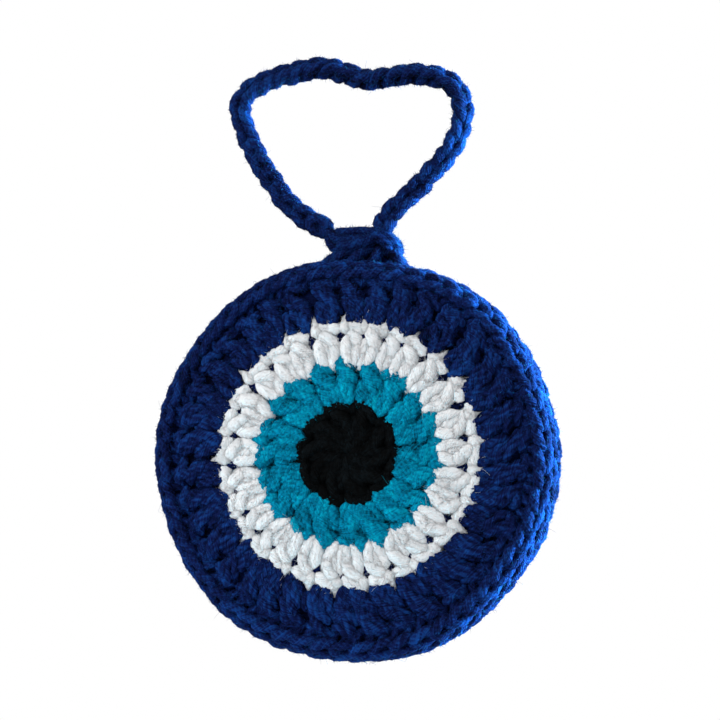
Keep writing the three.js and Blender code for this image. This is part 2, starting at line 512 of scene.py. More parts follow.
@dataclass
class Round:
    """One round of tall stitches on a face.

    Each stitch stands on a base angle and reaches a head angle. Its strands are drawn in
    the stitch's own grid: half-widths across, and from nought at the base to one at the
    head.

    Attributes:
        name: the round's name, without its side.
        yarn: its yarn.
        inner: radius of the bases.
        outer: radius of the heads.
        base: angle of each stitch's base.
        head: angle of each stitch's head.
        base_width: width of a stitch at its base.
        head_width: width of each stitch at its head.
        stitch: the strands that show.
        strand: radius of a strand.
        unevenness: spread of the hand's small errors, in half-widths.
        samples: points along a strand.
        ply: how the strands are spun.
        tufts: angles of the gaps in the next round, where a tuft of this one shows.
        tuft_reach: how far a tuft reaches past the heads.
        tuft_width: a tuft's half-width at its root.
        holes: angles of the holes of the round before, where this yarn shows through.
        halo: middle length of its loose fibres.
        fibre: radius of a loose fibre at its root.
    """

    name: str
    yarn: Yarn
    inner: float
    outer: float
    base: np.ndarray
    head: np.ndarray
    base_width: float
    head_width: np.ndarray
    stitch: Stitch = Stitch.SMOOTH
    strand: float = 1.45
    unevenness: float = 0.06
    samples: int = 14
    ply: Ply = Ply()
    tufts: np.ndarray = field(default_factory=lambda: np.zeros(0))
    tuft_reach: float = 0.0
    tuft_width: float = 0.0
    holes: np.ndarray = field(default_factory=lambda: np.zeros(0))
    halo: float = 0.75
    fibre: float = 0.055

    def place(self, across: np.ndarray, up: np.ndarray, lift: np.ndarray,
              side: Side) -> tuple[np.ndarray, np.ndarray]:
        """Turns grid places of every stitch into points and outward directions.

        The angle goes in proportion from base to head, plus the sideways step divided by
        the radius.

        Args:
            across: N by K half-widths from the stitch's middle line.
            up: N by K shares of the way from base to head.
            lift: N by K heights over the fabric.
            side: which face.

        Returns:
            The points and the outward directions there.
        """
        radius = self.inner + (self.outer - self.inner) * up
        foot, top = self.base_width[:, None], self.head_width[:, None]
        half = (foot + (top - foot) * np.clip(up, 0, 1)) / 2
        middle = self.base[:, None] + (self.head - self.base)[:, None] * np.clip(up, 0, 1)
        degrees = middle + np.degrees(across * half / radius)
        return disc_place(radius, degrees, lift, side), disc_outward(radius, degrees, side)

    def bundle(self, strand: tuple, mesh: YarnMesh, side: Side) -> Bundle:
        """One kind of strand for every stitch of the round."""
        n = len(self.base)
        control = np.repeat(np.array(strand)[None], n, axis=0)
        control = control + mesh.random.normal(0, 1, control.shape) * np.array(
            [self.unevenness, self.unevenness * 0.35, 0.12])
        curve = np.einsum("kc,ncd->nkd", spline_weights(control.shape[1], self.samples), control)
        across, up, lift = np.moveaxis(curve, -1, 0)
        path, out = self.place(across, up, lift - self.strand, side)
        t = np.linspace(0, 1, self.samples)
        swell = 1 + 0.08 * np.sin(math.pi * t)
        radius = self.strand * swell * mesh.random.normal(1, 0.035, (n, 1))
        return Bundle(path, out, radius, mesh.random.normal(0, 0.5, n))

    def build(self, side: Side, fibres: int) -> YarnMesh:
        """Makes the round's strands, backing and loose fibres for one face."""
        mesh = YarnMesh(self.ply, SEED + 13 * len(self.name) + int(self.outer) + side.value)
        for strand in self.stitch.value:
            mesh.add(self.bundle(strand, mesh, side))
        # Backing toned -2.4: painted shade, dark where it shows in the gaps between strands.
        mesh.band(self.inner + 0.6, self.outer + 1.2, (2.4, 4.4), side, -2.4)
        self.extras(mesh, side)
        mesh.fuzz(fibres, self.halo, self.fibre)
        return mesh

    def extras(self, mesh: YarnMesh, side: Side) -> None:
        """Adds the tufts that show between the next round's stitches, and threads in the holes."""
        if len(self.tufts):
            self.add_tufts(mesh, side)
        if len(self.holes):
            self.add_hole_threads(mesh, side)

    def add_tufts(self, mesh: YarnMesh, side: Side) -> None:
        """Adds one pointed strand per gap of the next round.

        It rises from under the heads and dips again, as half a sine wave; its radius swells
        at once and then falls to a tip, as one minus a power of the way along.
        """
        n, t = len(self.tufts), np.linspace(0, 1, 10)
        start = self.outer - 2.6
        reach = self.tuft_reach + mesh.random.normal(0, 0.3, (n, 1))
        radius = start + (self.outer + reach - start) * t
        degrees = self.tufts[:, None] + mesh.random.normal(0, 0.35, (n, 1)) * t
        lift = -2.3 + 1.0 * np.sin(math.pi * np.minimum(1, 0.25 + 0.62 * t)) + 0 * radius
        path = disc_place(radius, degrees, lift, side)
        out = disc_outward(radius, degrees, side)
        swell = np.minimum(1, 0.45 + 2 * t) * (1 - 0.9 * t**1.3)
        width = self.tuft_width * swell * mesh.random.normal(1, 0.08, (n, 1))
        mesh.add(Bundle(path, out, width, mesh.random.normal(0.0, 0.3, n)))

    def add_hole_threads(self, mesh: YarnMesh, side: Side) -> None:
        """Adds the short deep threads of this yarn that show in the holes of the round before."""
        n, t = len(self.holes), np.linspace(-1, 1, 8)
        radius = self.inner - 3.0 + 3.2 * t + 0 * self.holes[:, None]
        path = disc_place(radius, self.holes[:, None] + 0 * radius, -1.9 + 0 * radius, side)
        out = disc_outward(radius, self.holes[:, None] + 0 * radius, side)
        # Tone -1.9: these are real threads of this yarn, darkened as painted shade down in the holes.
        mesh.add(Bundle(path, out, np.full((n, 8), 1.3), np.full(n, -1.9)))


# Angles clockwise from the top, read from the photograph to about a degree, because the stitches are
# uneven: closest together just right of the top, widest at the right.
# First the gaps between the heads of the white stitches, then the white tufts outside them.
WHITE_GAPS = np.array([
    -3.0, 8.0, 18.6, 27.0, 39.4, 52.3, 67.5, 83.3, 97.3, 111.0, 123.2, 136.1, 148.0, 159.2, 171.0,
    183.0, 195.5, 207.0, 219.5, 230.9, 241.3, 252.6, 266.0, 279.7, 292.6, 305.6, 318.8, 330.0, 342.1])
WHITE_TUFTS = np.array([
    -1.1, 7.6, 16.3, 30.2, 44.8, 60.0, 73.4, 85.2, 97.7, 111.2, 124.1, 137.3, 148.3, 161.1, 172.7,
    185.1, 196.9, 209.5, 220.7, 232.0, 243.6, 254.5, 268.9, 281.3, 293.9, 307.7, 318.4, 331.0, 345.4])
# Stitches that stand in one hole with the stitch after them
WHITE_PAIRS = (0, 8, 11, 14, 17, 20, 23, 26)
# Angles of the gaps between the ten pairs of teal stitches, read in the same way
TEAL_GAPS = np.array([8.4, 46.0, 83.0, 117.0, 149.6, 188.0, 224.0, 263.0, 299.0, 334.0])


def middles(gaps: np.ndarray) -> np.ndarray:
    """Angles half way between each gap and the next one round."""
    return (gaps + np.append(gaps[1:], gaps[0] + 360)) / 2


def widths(gaps: np.ndarray, radius: float) -> np.ndarray:
    """Distances between each gap and the next one round, at a radius."""
    return np.radians(np.diff(np.append(gaps, gaps[0] + 360))) * radius


def pupil_round() -> Round:
    """The ten black stitches at the middle."""
    base = middles(TEAL_GAPS)
    return Round("pupil", Yarn.BLACK, 1.2, 12.3, base, base - 4,
                 np.full(10, 1.6), widths(TEAL_GAPS, 12.0),
                 tufts=TEAL_GAPS, tuft_reach=2.2, tuft_width=1.5, strand=1.5)


def iris_round() -> Round:
    """The ten pairs of teal stitches."""
    lobe, wide = middles(TEAL_GAPS), widths(TEAL_GAPS, 1.0)
    base = (lobe[:, None] + np.degrees(wide[:, None] * [-0.2, 0.2])).ravel()
    head = (lobe[:, None] + np.degrees(wide[:, None] * [-0.27, 0.23])).ravel() - 2
    firsts = [i for i in range(len(WHITE_GAPS)) if i - 1 not in WHITE_PAIRS]
    return Round("iris", Yarn.TEAL, 12.6, 22.4, base, head,
                 np.repeat(wide * 6.0, 2), np.repeat(wide * 10.8, 2),
                 stitch=Stitch.WRAPPED, tufts=WHITE_GAPS[firsts], tuft_reach=3.4, tuft_width=2.3,
                 strand=1.32, ply=Ply(pitch=7.0, depth=0.15), unevenness=0.09)


def white_round() -> Round:
    """The white stitches: single ones and pairs in turn."""
    head, wide = middles(WHITE_GAPS), widths(WHITE_GAPS, 1.0)
    base, foot = head - 1.0, 19.0 * wide
    first = np.array(WHITE_PAIRS)
    lobe = (head[first] + head[first + 1]) / 2 - 1.5
    base[first], base[first + 1] = lobe - 3.8, lobe + 3.8
    foot[first] = foot[first + 1] = 3.6
    return Round("white_round", Yarn.WHITE, 22.2, 32.0, base, head, foot, 32.6 * wide,
                 tufts=WHITE_TUFTS, tuft_reach=3.4, tuft_width=2.2, strand=1.6,
                 halo=0.85, fibre=0.06, samples=18, ply=Ply(pitch=7.5, depth=0.1, flatten=0.85))


def blue_round() -> Round:
    """The blue stitches: two single ones and a pair in turn, in the gaps of the white tufts."""
    lobe, wide = middles(WHITE_TUFTS), widths(WHITE_TUFTS, 34.0)
    count = np.where(np.arange(len(lobe)) % 3 == 2, 2, 1)
    base, foot = np.repeat(lobe, count), np.repeat(wide / count ** 0.7, count)
    pair = np.repeat(count, count) == 2
    second = np.append([False], np.diff(base) == 0)
    base = base + np.where(pair, np.where(second, 2.9, -2.9), 0.0)
    even = np.arange(len(base)) * 360 / len(base)
    head = even + np.mean(base - even) - 2.0
    return Round("blue_round", Yarn.BLUE, 32.5, 43.6, base, head, foot * 0.82, np.full(len(base), 6.5),
                 stitch=Stitch.WRAPPED, holes=WHITE_GAPS, strand=1.3, unevenness=0.13,
                 ply=Ply(pitch=8.5, depth=0.15), samples=12)


RIM_MIDDLE, RIM_REACH, RIM_HALF_DEPTH, RIM_POWER = 45.2, 4.8, 9.0, 2 / 3.0


def rim_drift(degrees: np.ndarray, side: Side) -> np.ndarray:
    """How far the hand-worked rim strays from a true circle.

    It is drawn in under the tab, as a bell curve of the angle, and has six shallow waves.
    """
    turned = degrees * math.cos(math.radians(side.value))
    from_top = (turned + 180) % 360 - 180
    return 0.35 * np.cos(np.radians(6 * (turned - 99))) - 1.3 * np.exp(-(((from_top - 2) / 30) ** 2))


def rim_place(degrees: np.ndarray, roll: np.ndarray, lift: np.ndarray,
              side: Side) -> tuple[np.ndarray, np.ndarray]:
    """Points and outward directions on the disc's rounded side.

    The section is an oval whose sine and cosine are raised to two thirds, which squares
    its corners. Roll 0 faces the front, 90 outwards and 180 the back.

    Args:
        degrees: angle clockwise from the top.
        roll: angle round the section.
        lift: height over the section.
        side: which face is counted as the front.

    Returns:
        Points in the frame and unit directions.
    """
    a, b = np.radians(degrees), np.radians(roll)
    sine, cosine = np.sin(b), np.cos(b)
    reach = RIM_REACH * np.sign(sine) * np.abs(sine) ** RIM_POWER
    depth = RIM_HALF_DEPTH * np.sign(cosine) * np.abs(cosine) ** RIM_POWER
    out_r, out_y = unit(np.stack(np.broadcast_arrays(sine, cosine), axis=-1)).transpose(
        [sine.ndim] + list(range(sine.ndim)))
    radius = RIM_MIDDLE + reach + lift * out_r + rim_drift(degrees, side)
    front = depth + lift * out_y
    turn = math.cos(math.radians(side.value))
    place = np.stack([turn * radius * np.sin(a), -turn * front, radius * np.cos(a)], axis=-1)
    out = np.stack([turn * out_r * np.sin(a), -turn * out_y, out_r * np.cos(a)], axis=-1)
    return place + DISC_CENTRE, out


# Across the chain in half-widths, along it in stitches, and lift
CHAIN_LEGS = (
    ((-0.35, -0.66, -1.9), (-0.95, -0.40, -0.2), (-0.92, 0.0, 0.25),
     (-0.5, 0.40, 0.2), (0.0, 0.78, -0.9)),
    ((0.35, -0.64, -1.9), (0.95, -0.38, -0.2), (0.92, 0.02, 0.25), (0.5, 0.42, 0.2), (0.0, 0.80, -0.9)),
)


@dataclass
class RimRound:
    """A round of chain heads and the posts that carry them, on the disc's side.

    Attributes:
        name: the round's name, without its side.
        stitches: how many.
        ridge: roll of the chain's middle line.
        half_width: half the chain's width.
        strand: radius of a strand.
        posts: from and to roll of each row of posts, with its lean in stitches.
        proud: how far the chain stands over the section.
        phase: angle of the first stitch.
    """

    name: str
    stitches: int
    ridge: float
    half_width: float
    strand: float
    posts: tuple[tuple[float, float, float], ...]
    proud: float = 0.0
    phase: float = 0.0
    samples: int = 12

    def chain(self, mesh: YarnMesh, leg: tuple, side: Side) -> Bundle:
        """One leg of every chain head, laid along the ridge."""
        n = self.stitches
        control = np.repeat(np.array(leg)[None], n, axis=0)
        control = control + mesh.random.normal(0, 1, control.shape) * [0.07, 0.05, 0.14]
        curve = np.einsum("kc,ncd->nkd", spline_weights(control.shape[1], self.samples + 2), control)
        across, along, lift = np.moveaxis(curve, -1, 0)
        pitch = 360 / n
        degrees = self.phase + pitch * (np.arange(n)[:, None] + along)
        roll = self.ridge + np.degrees(across * self.half_width / 7.5)
        path, out = rim_place(degrees, roll, lift - self.strand + self.proud, side)
        radius = self.strand * mesh.random.normal(1, 0.05, (n, 1)) + 0 * lift
        return Bundle(path, out, radius, mesh.random.normal(0.1, 0.5, n))

    def post(self, mesh: YarnMesh, row: tuple[float, float, float], side: Side) -> Bundle:
        """One row of posts: slanting strands that rise in the middle and dive at both ends."""
        n, t = int(1.5 * self.stitches), np.linspace(0, 1, self.samples)
        begin, end, lean = row
        pitch = 360 / self.stitches
        start = self.phase + 360 / n * np.arange(n)[:, None]
        start = start + mesh.random.normal(0, 0.06 * pitch, (n, 1))
        degrees = start + pitch * lean * (t - 0.5)
        roll = begin + (end - begin) * t + mesh.random.normal(0, 1.2, (n, 1))
        lift = -self.strand - 0.5 - 1.5 * (2 * t - 1) ** 4 + mesh.random.normal(0, 0.15, (n, 1))
        path, out = rim_place(degrees, roll, lift, side)
        radius = self.strand * mesh.random.normal(0.97, 0.05, (n, 1)) + 0 * lift
        return Bundle(path, out, radius, mesh.random.normal(-0.15, 0.5, n))

    def build(self, side: Side, fibres: int) -> YarnMesh:
        """Makes the round's chain, posts, backing and loose fibres."""
        mesh = YarnMesh(Ply(pitch=8.0, depth=0.14), SEED + 91 + int(self.ridge) + side.value)
        for leg in CHAIN_LEGS:
            mesh.add(self.chain(mesh, leg, side))
        for row in self.posts:
            mesh.add(self.post(mesh, row, side))
        self.backing(mesh, side)
        mesh.fuzz(fibres, 0.7)
        return mesh

    def backing(self, mesh: YarnMesh, side: Side) -> None:
        """Adds the tube under the strands: an oval carried round the disc."""
        degrees = np.linspace(0, 360, 121)
        low = min([self.ridge] + [min(a, b) for a, b, _ in self.posts])
        high = max([self.ridge] + [max(a, b) for a, b, _ in self.posts])
        t = np.linspace(0, 2 * math.pi, 14, endpoint=False)
        roll = (low + high) / 2 + (high - low) / 2 * np.clip(1.4 * np.cos(t), -1, 1)
        lift = -3.1 + 0.7 * np.clip(1.4 * np.sin(t), -1, 1)
        rings, _ = rim_place(degrees[:-1, None] + 0 * roll, roll + 0 * degrees[:-1, None],
                             lift + 0 * degrees[:-1, None], side)
        u = np.radians(degrees)[:, None] * 47 + 0 * np.arange(15)
        v = np.linspace(0, 16, 15) + 0 * u
        # Tone -2.2: the tube is painted dark as the shade where it shows between the strands.
        mesh._tubes(rings[None], np.stack([u, v], axis=-1)[None], np.array([-2.2]),
                    np.zeros((1, 120, 14)), endless=True)


# The bump behind each of the loop's chain stitches, in the same measures as the legs
CHAIN_BUMP = (
    (0.0, -0.75, -1.4), (-0.5, -0.35, -2.2), (-0.1, 0.05, -2.5), (0.4, 0.45, -2.2), (0.0, 0.85, -1.4))
# The loop's middle line: sideways place, and height over the disc's middle
LOOP_ROUTE = np.array([
    (-7.6, 57.9), (-12.2, 60.4), (-17.9, 65.2), (-22.4, 71.5), (-26.1, 77.8), (-28.7, 83.6),
    (-30.1, 89.2), (-28.8, 93.5), (-24.4, 96.3), (-16.8, 98.5), (-8.9, 99.4), (-2.8, 97.7),
    (2.2, 95.8), (6.8, 96.1), (12.8, 96.6), (19.5, 95.9), (24.1, 93.5), (26.4, 90.2),
    (27.1, 86.2), (26.2, 81.8), (24.0, 77.0), (20.4, 72.4), (15.3, 66.8), (10.4, 62.3),
    (7.8, 58.9), (7.4, 56.2)])


@dataclass
class HangingLoop:
    """The chain-stitch loop that the ornament hangs by.

    Attributes:
        pitch: length of one chain stitch.
        half_width: distance of a leg from the middle line.
        strand: radius of a strand.
        diameter: thickness of the whole chain; not used.
        route: its middle line's points, sideways and over the disc's middle.
    """

    pitch: float = 4.4
    half_width: float = 1.45
    strand: float = 1.42
    diameter: float = 6.0
    route: np.ndarray = field(default_factory=lambda: LOOP_ROUTE)

    def line(self, samples: int = 600) -> np.ndarray:
        """The middle line, closely spaced."""
        flat = spline_weights(len(self.route), samples) @ self.route
        return np.stack([flat[:, 0], 0 * flat[:, 0], flat[:, 1]], axis=1) + DISC_CENTRE

    def length(self) -> float:
        """Length of the middle line."""
        return float(np.linalg.norm(np.diff(self.line(), axis=0), axis=1).sum())

    def follow(self, along: np.ndarray, across: np.ndarray,
               lift: np.ndarray) -> tuple[np.ndarray, np.ndarray]:
        """Places strands on the middle line.

        The chain's face rolls slowly to and fro as it goes round.

        Args:
            along: distances along the line.
            across: sideways steps in the chain's own plane.
            lift: steps towards the chain's face.

        Returns:
            Points and outward directions.
        """
        line = self.line()
        step = np.linalg.norm(np.diff(line, axis=0), axis=1)
        s = np.concatenate([[0], np.cumsum(step)])
        tangent = unit(np.gradient(line, axis=0))
        at = np.clip(along, 0, s[-1])
        point = np.stack([np.interp(at, s, line[:, i]) for i in range(3)], axis=-1)
        way = unit(np.stack([np.interp(at, s, tangent[:, i]) for i in range(3)], axis=-1))
        front = np.array([0.0, -1.0, 0.0])
        sideways = unit(np.cross(way, front))
        roll = np.radians(-28 + 34 * np.sin(at / 21.0 + 0.6))[..., None]
        face = np.cos(roll) * front + np.sin(roll) * sideways
        flat = np.cos(roll) * sideways - np.sin(roll) * front
        place = point + across[..., None] * flat + lift[..., None] * face
        out = unit(across[..., None] * flat * 0.6 + (lift[..., None] + 1.2) * face)
        return place, out

    def build(self, fibres: int) -> YarnMesh:
        """Makes the chain: two legs on its face and one bump behind for each stitch."""
        mesh = YarnMesh(Ply(pitch=8.0), SEED + 7)
        length = self.length()
        n = int(length / self.pitch) + 2
        start = self.pitch * (np.arange(n)[:, None] - 0.4)
        legs = [np.array(leg) for leg in CHAIN_LEGS]
        for shape in [*legs, np.array(CHAIN_BUMP)]:
            control = np.repeat(shape[None], n, axis=0)
            control = control + mesh.random.normal(0, 1, (n, 5, 3)) * [0.08, 0.05, 0.1]
            curve = np.einsum("kc,ncd->nkd", spline_weights(5, 14), control)
            across, along, lift = np.moveaxis(curve, -1, 0)
            path, out = self.follow(start + along * self.pitch, across * self.half_width,
                                    np.maximum(lift, -2.9) + 1.15)
            radius = self.strand * mesh.random.normal(1, 0.05, (n, 1)) + 0 * lift
            mesh.add(Bundle(path, out, radius, mesh.random.normal(0.1, 0.45, n)))
        mesh.fuzz(fibres, 0.55, facing=-0.6)
        return mesh


@dataclass
class Tab:
    """The knob of slip stitches between the disc's rim and the loop.

    Attributes:
        pivot: sideways place and height of a point over the disc; not used.
        strand: radius of a strand.
    """

    pivot: tuple[float, float] = (2.8, 51.95)
    strand: float = 1.5

    def strands(self, mesh: YarnMesh, controls: list[list[tuple[float, float, float]]],
                samples: int = 22) -> None:
        """Adds strands one by one from control points: sideways, to the front, height over the disc."""
        for points in controls:
            p = np.array(points)
            curve = spline_weights(len(p), samples) @ p
            path = (curve * [1, -1, 1] + DISC_CENTRE)[None]
            core = np.array([3.2, 0.0, 53.0]) + DISC_CENTRE
            out = unit(path - core)
            radius = np.full((1, samples), self.strand) * mesh.random.normal(1, 0.04)
            mesh.add(Bundle(path, out, radius, mesh.random.normal(0.0, 0.4, 1)))

    def knob(self, fibres: int) -> YarnMesh:
        """Makes the upper part, which carries the loop's two feet."""
        mesh = YarnMesh(Ply(pitch=8.0), SEED + 31)
        self.strands(mesh, [
            [(-7.8, 0.8, 58.0), (-5.2, 1.8, 55.4), (-2.2, 2.4, 54.2),
             (1.8, 2.8, 54.2), (5.6, 1.6, 53.6)],
            [(-7.0, 0.8, 56.2), (-5.6, 1.6, 53.4), (-3.4, 2.2, 52.0),
             (-0.2, 2.6, 51.8), (3.2, 1.4, 51.8)],
            [(-7.2, -1.2, 56.6), (-5.2, -1.8, 53.8), (-1.8, -2.2, 52.8),
             (2.4, -2.0, 52.8), (7.0, -1.2, 52.8)],
            [(-5.6, 0.4, 56.6), (-2.6, 1.4, 56.4), (1.4, 1.8, 56.4), (5.4, 1.8, 56.2), (8.6, 0.6, 57.4)],
            [(-4.8, -1.0, 55.8), (-0.8, -1.6, 56.2), (3.6, -1.8, 56.2), (8.2, -0.8, 56.6)],
            [(4.2, 2.2, 55.4), (7.0, 2.9, 54.2), (9.0, 2.4, 52.0), (8.4, 1.2, 50.2)],
            [(6.4, 1.6, 56.0), (9.2, 2.0, 54.2), (10.6, 1.2, 51.8), (10.2, -0.2, 49.8)],
            [(7.0, -0.6, 56.0), (9.6, -1.0, 54.2), (10.6, -1.4, 52.0), (9.6, -1.4, 49.8)],
            [(-4.6, 2.0, 53.4), (-1.2, 3.2, 52.8), (2.6, 3.0, 53.6), (6.2, 2.2, 55.2)],
            [(-4.6, -2.2, 53.2), (-0.8, -3.2, 52.6), (3.0, -3.0, 53.6), (6.4, -2.2, 55.2)],
            [(-4.6, 0.0, 52.6), (-0.8, 0.2, 52.2), (3.2, 0.0, 52.2), (7.6, 0.0, 52.2)],
            [(-5.0, 0.0, 54.6), (-0.8, 0.0, 54.8), (3.4, 0.0, 54.8), (8.6, 0.0, 54.6)],
        ])
        mesh.fuzz(fibres, 0.65)
        return mesh

    def root(self, fibres: int) -> YarnMesh:
        """Makes the lower part, which is worked into the rim."""
        mesh = YarnMesh(Ply(pitch=8.0), SEED + 37)
        self.strands(mesh, [
            [(-8.6, 3.2, 46.8), (-6.0, 3.2, 49.2), (-3.2, 2.4, 51.0), (1.0, 1.2, 52.0)],
            [(-8.6, -3.2, 46.8), (-5.8, -3.2, 49.2), (-3.0, -2.4, 51.0), (1.0, -1.2, 52.0)],
            [(-5.4, 4.0, 47.6), (-3.4, 3.6, 49.8), (-0.4, 2.2, 51.4), (3.4, 0.8, 52.2)],
            [(-5.4, -4.0, 47.6), (-3.2, -3.6, 49.8), (-0.4, -2.2, 51.4), (3.4, -0.8, 52.2)],
            [(-0.8, 4.4, 47.4), (0.8, 3.8, 49.6), (3.0, 2.4, 51.4), (5.0, 0.8, 52.2)],
            [(-0.8, -4.4, 47.4), (0.8, -3.8, 49.6), (3.0, -2.4, 51.4), (5.0, -0.8, 52.2)],
            [(4.4, 4.4, 47.0), (5.6, 3.8, 49.2), (6.4, 2.4, 51.2), (5.4, 0.8, 52.2)],
            [(12.4, 3.0, 45.6), (11.4, 3.0, 48.4), (9.6, 2.0, 50.8), (5.8, 0.8, 52.0)],
            [(12.4, -3.0, 45.6), (11.4, -3.0, 48.4), (9.6, -2.0, 50.8), (5.8, -0.8, 52.0)],
            [(-6.4, 0.0, 48.2), (-2.0, 0.4, 50.2), (3.4, 0.2, 50.6), (9.6, 0.0, 48.6)],
            [(-3.6, 0.0, 50.6), (0.4, -0.4, 51.6), (4.4, 0.0, 51.6), (8.8, 0.0, 50.4)],
        ], samples=16)
        mesh.fuzz(fibres, 0.65, facing=0.0)
        return mesh


@dataclass
class Filling:
    """The ball of fibre that keeps the two faces apart.

    Attributes:
        radius: its reach from the disc's axis.
        half_depth: its reach from the mid-plane.
        lumpiness: height of its lumps.
    """

    radius: float = 44.6
    half_depth: float = 6.0
    lumpiness: float = 0.22

    def build(self) -> bpy.types.Object:
        """Makes a flattened ball.

        Its reach and its depth are the sine and the cosine of the section angle to the
        power six tenths, drawn in a little by two products of sine waves.
        """
        rows, around = 40, 96
        b = np.linspace(0.012, math.pi - 0.012, rows)
        a = np.linspace(0, 2 * math.pi, around, endpoint=False)
        power = 0.6
        reach = self.radius * np.sin(b) ** power
        depth = self.half_depth * np.sign(np.cos(b)) * np.abs(np.cos(b)) ** power
        wave = np.sin(5 * a) * np.sin(7 * b[:, None]) + np.sin(11 * a + 2) * np.sin(13 * b[:, None] + 1)
        scale = 1 - self.lumpiness * 0.05 * (1 + wave)
        place = np.stack([reach[:, None] * np.sin(a) * scale, -depth[:, None] * scale,
                          reach[:, None] * np.cos(a) * scale], axis=-1) + DISC_CENTRE
        mesh = YarnMesh(Ply(), SEED)
        u = np.zeros((rows, around + 1)) + b[:, None] * 60
        v = np.linspace(0, 2 * math.pi * self.radius, around + 1) + 0 * u
        mesh._tubes(place[None], np.stack([u, v], axis=-1)[None], np.zeros(1),
                    np.zeros((1, rows, around)))
        return mesh.piece("fibre_filling")


@dataclass
class YarnEndKnot:
    """A yarn end tied off under a face.

    Attributes:
        name: the knot's name, without its side.
        yarn: its yarn.
        thickness: radius of the tied end.
    """

    name: str
    yarn: Yarn
    thickness: float = 0.42

    def build(self, node: str) -> bpy.types.Object:
        """Makes an overhand knot.

        Its line is the sine of the angle plus twice the sine of twice the angle, the same
        with cosines and a minus, and minus the sine of three times the angle, fitted to
        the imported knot's box.

        Args:
            node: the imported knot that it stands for.

        Returns:
            The knot.
        """
        low, high = (np.array(corner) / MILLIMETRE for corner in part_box(node))
        t = np.linspace(0, 2 * math.pi, 97)[:-1]
        knot = np.stack([np.sin(t) + 2 * np.sin(2 * t), -np.sin(3 * t),
                         np.cos(t) - 2 * np.cos(2 * t)], axis=-1)
        half = (high - low) / 2 - self.thickness
        path = (low + high) / 2 + knot / np.abs(knot).max(axis=0) * half
        mesh = YarnMesh(Ply(sides=8, pitch=4.0), SEED + 5)
        out = np.broadcast_to([0.0, -1.0, 0.0], path.shape)[None]
        mesh.add(Bundle(path[None], out, np.full((1, len(t)), self.thickness), np.zeros(1)))
        return mesh.piece(node.replace("knot", "yarn_knot"))


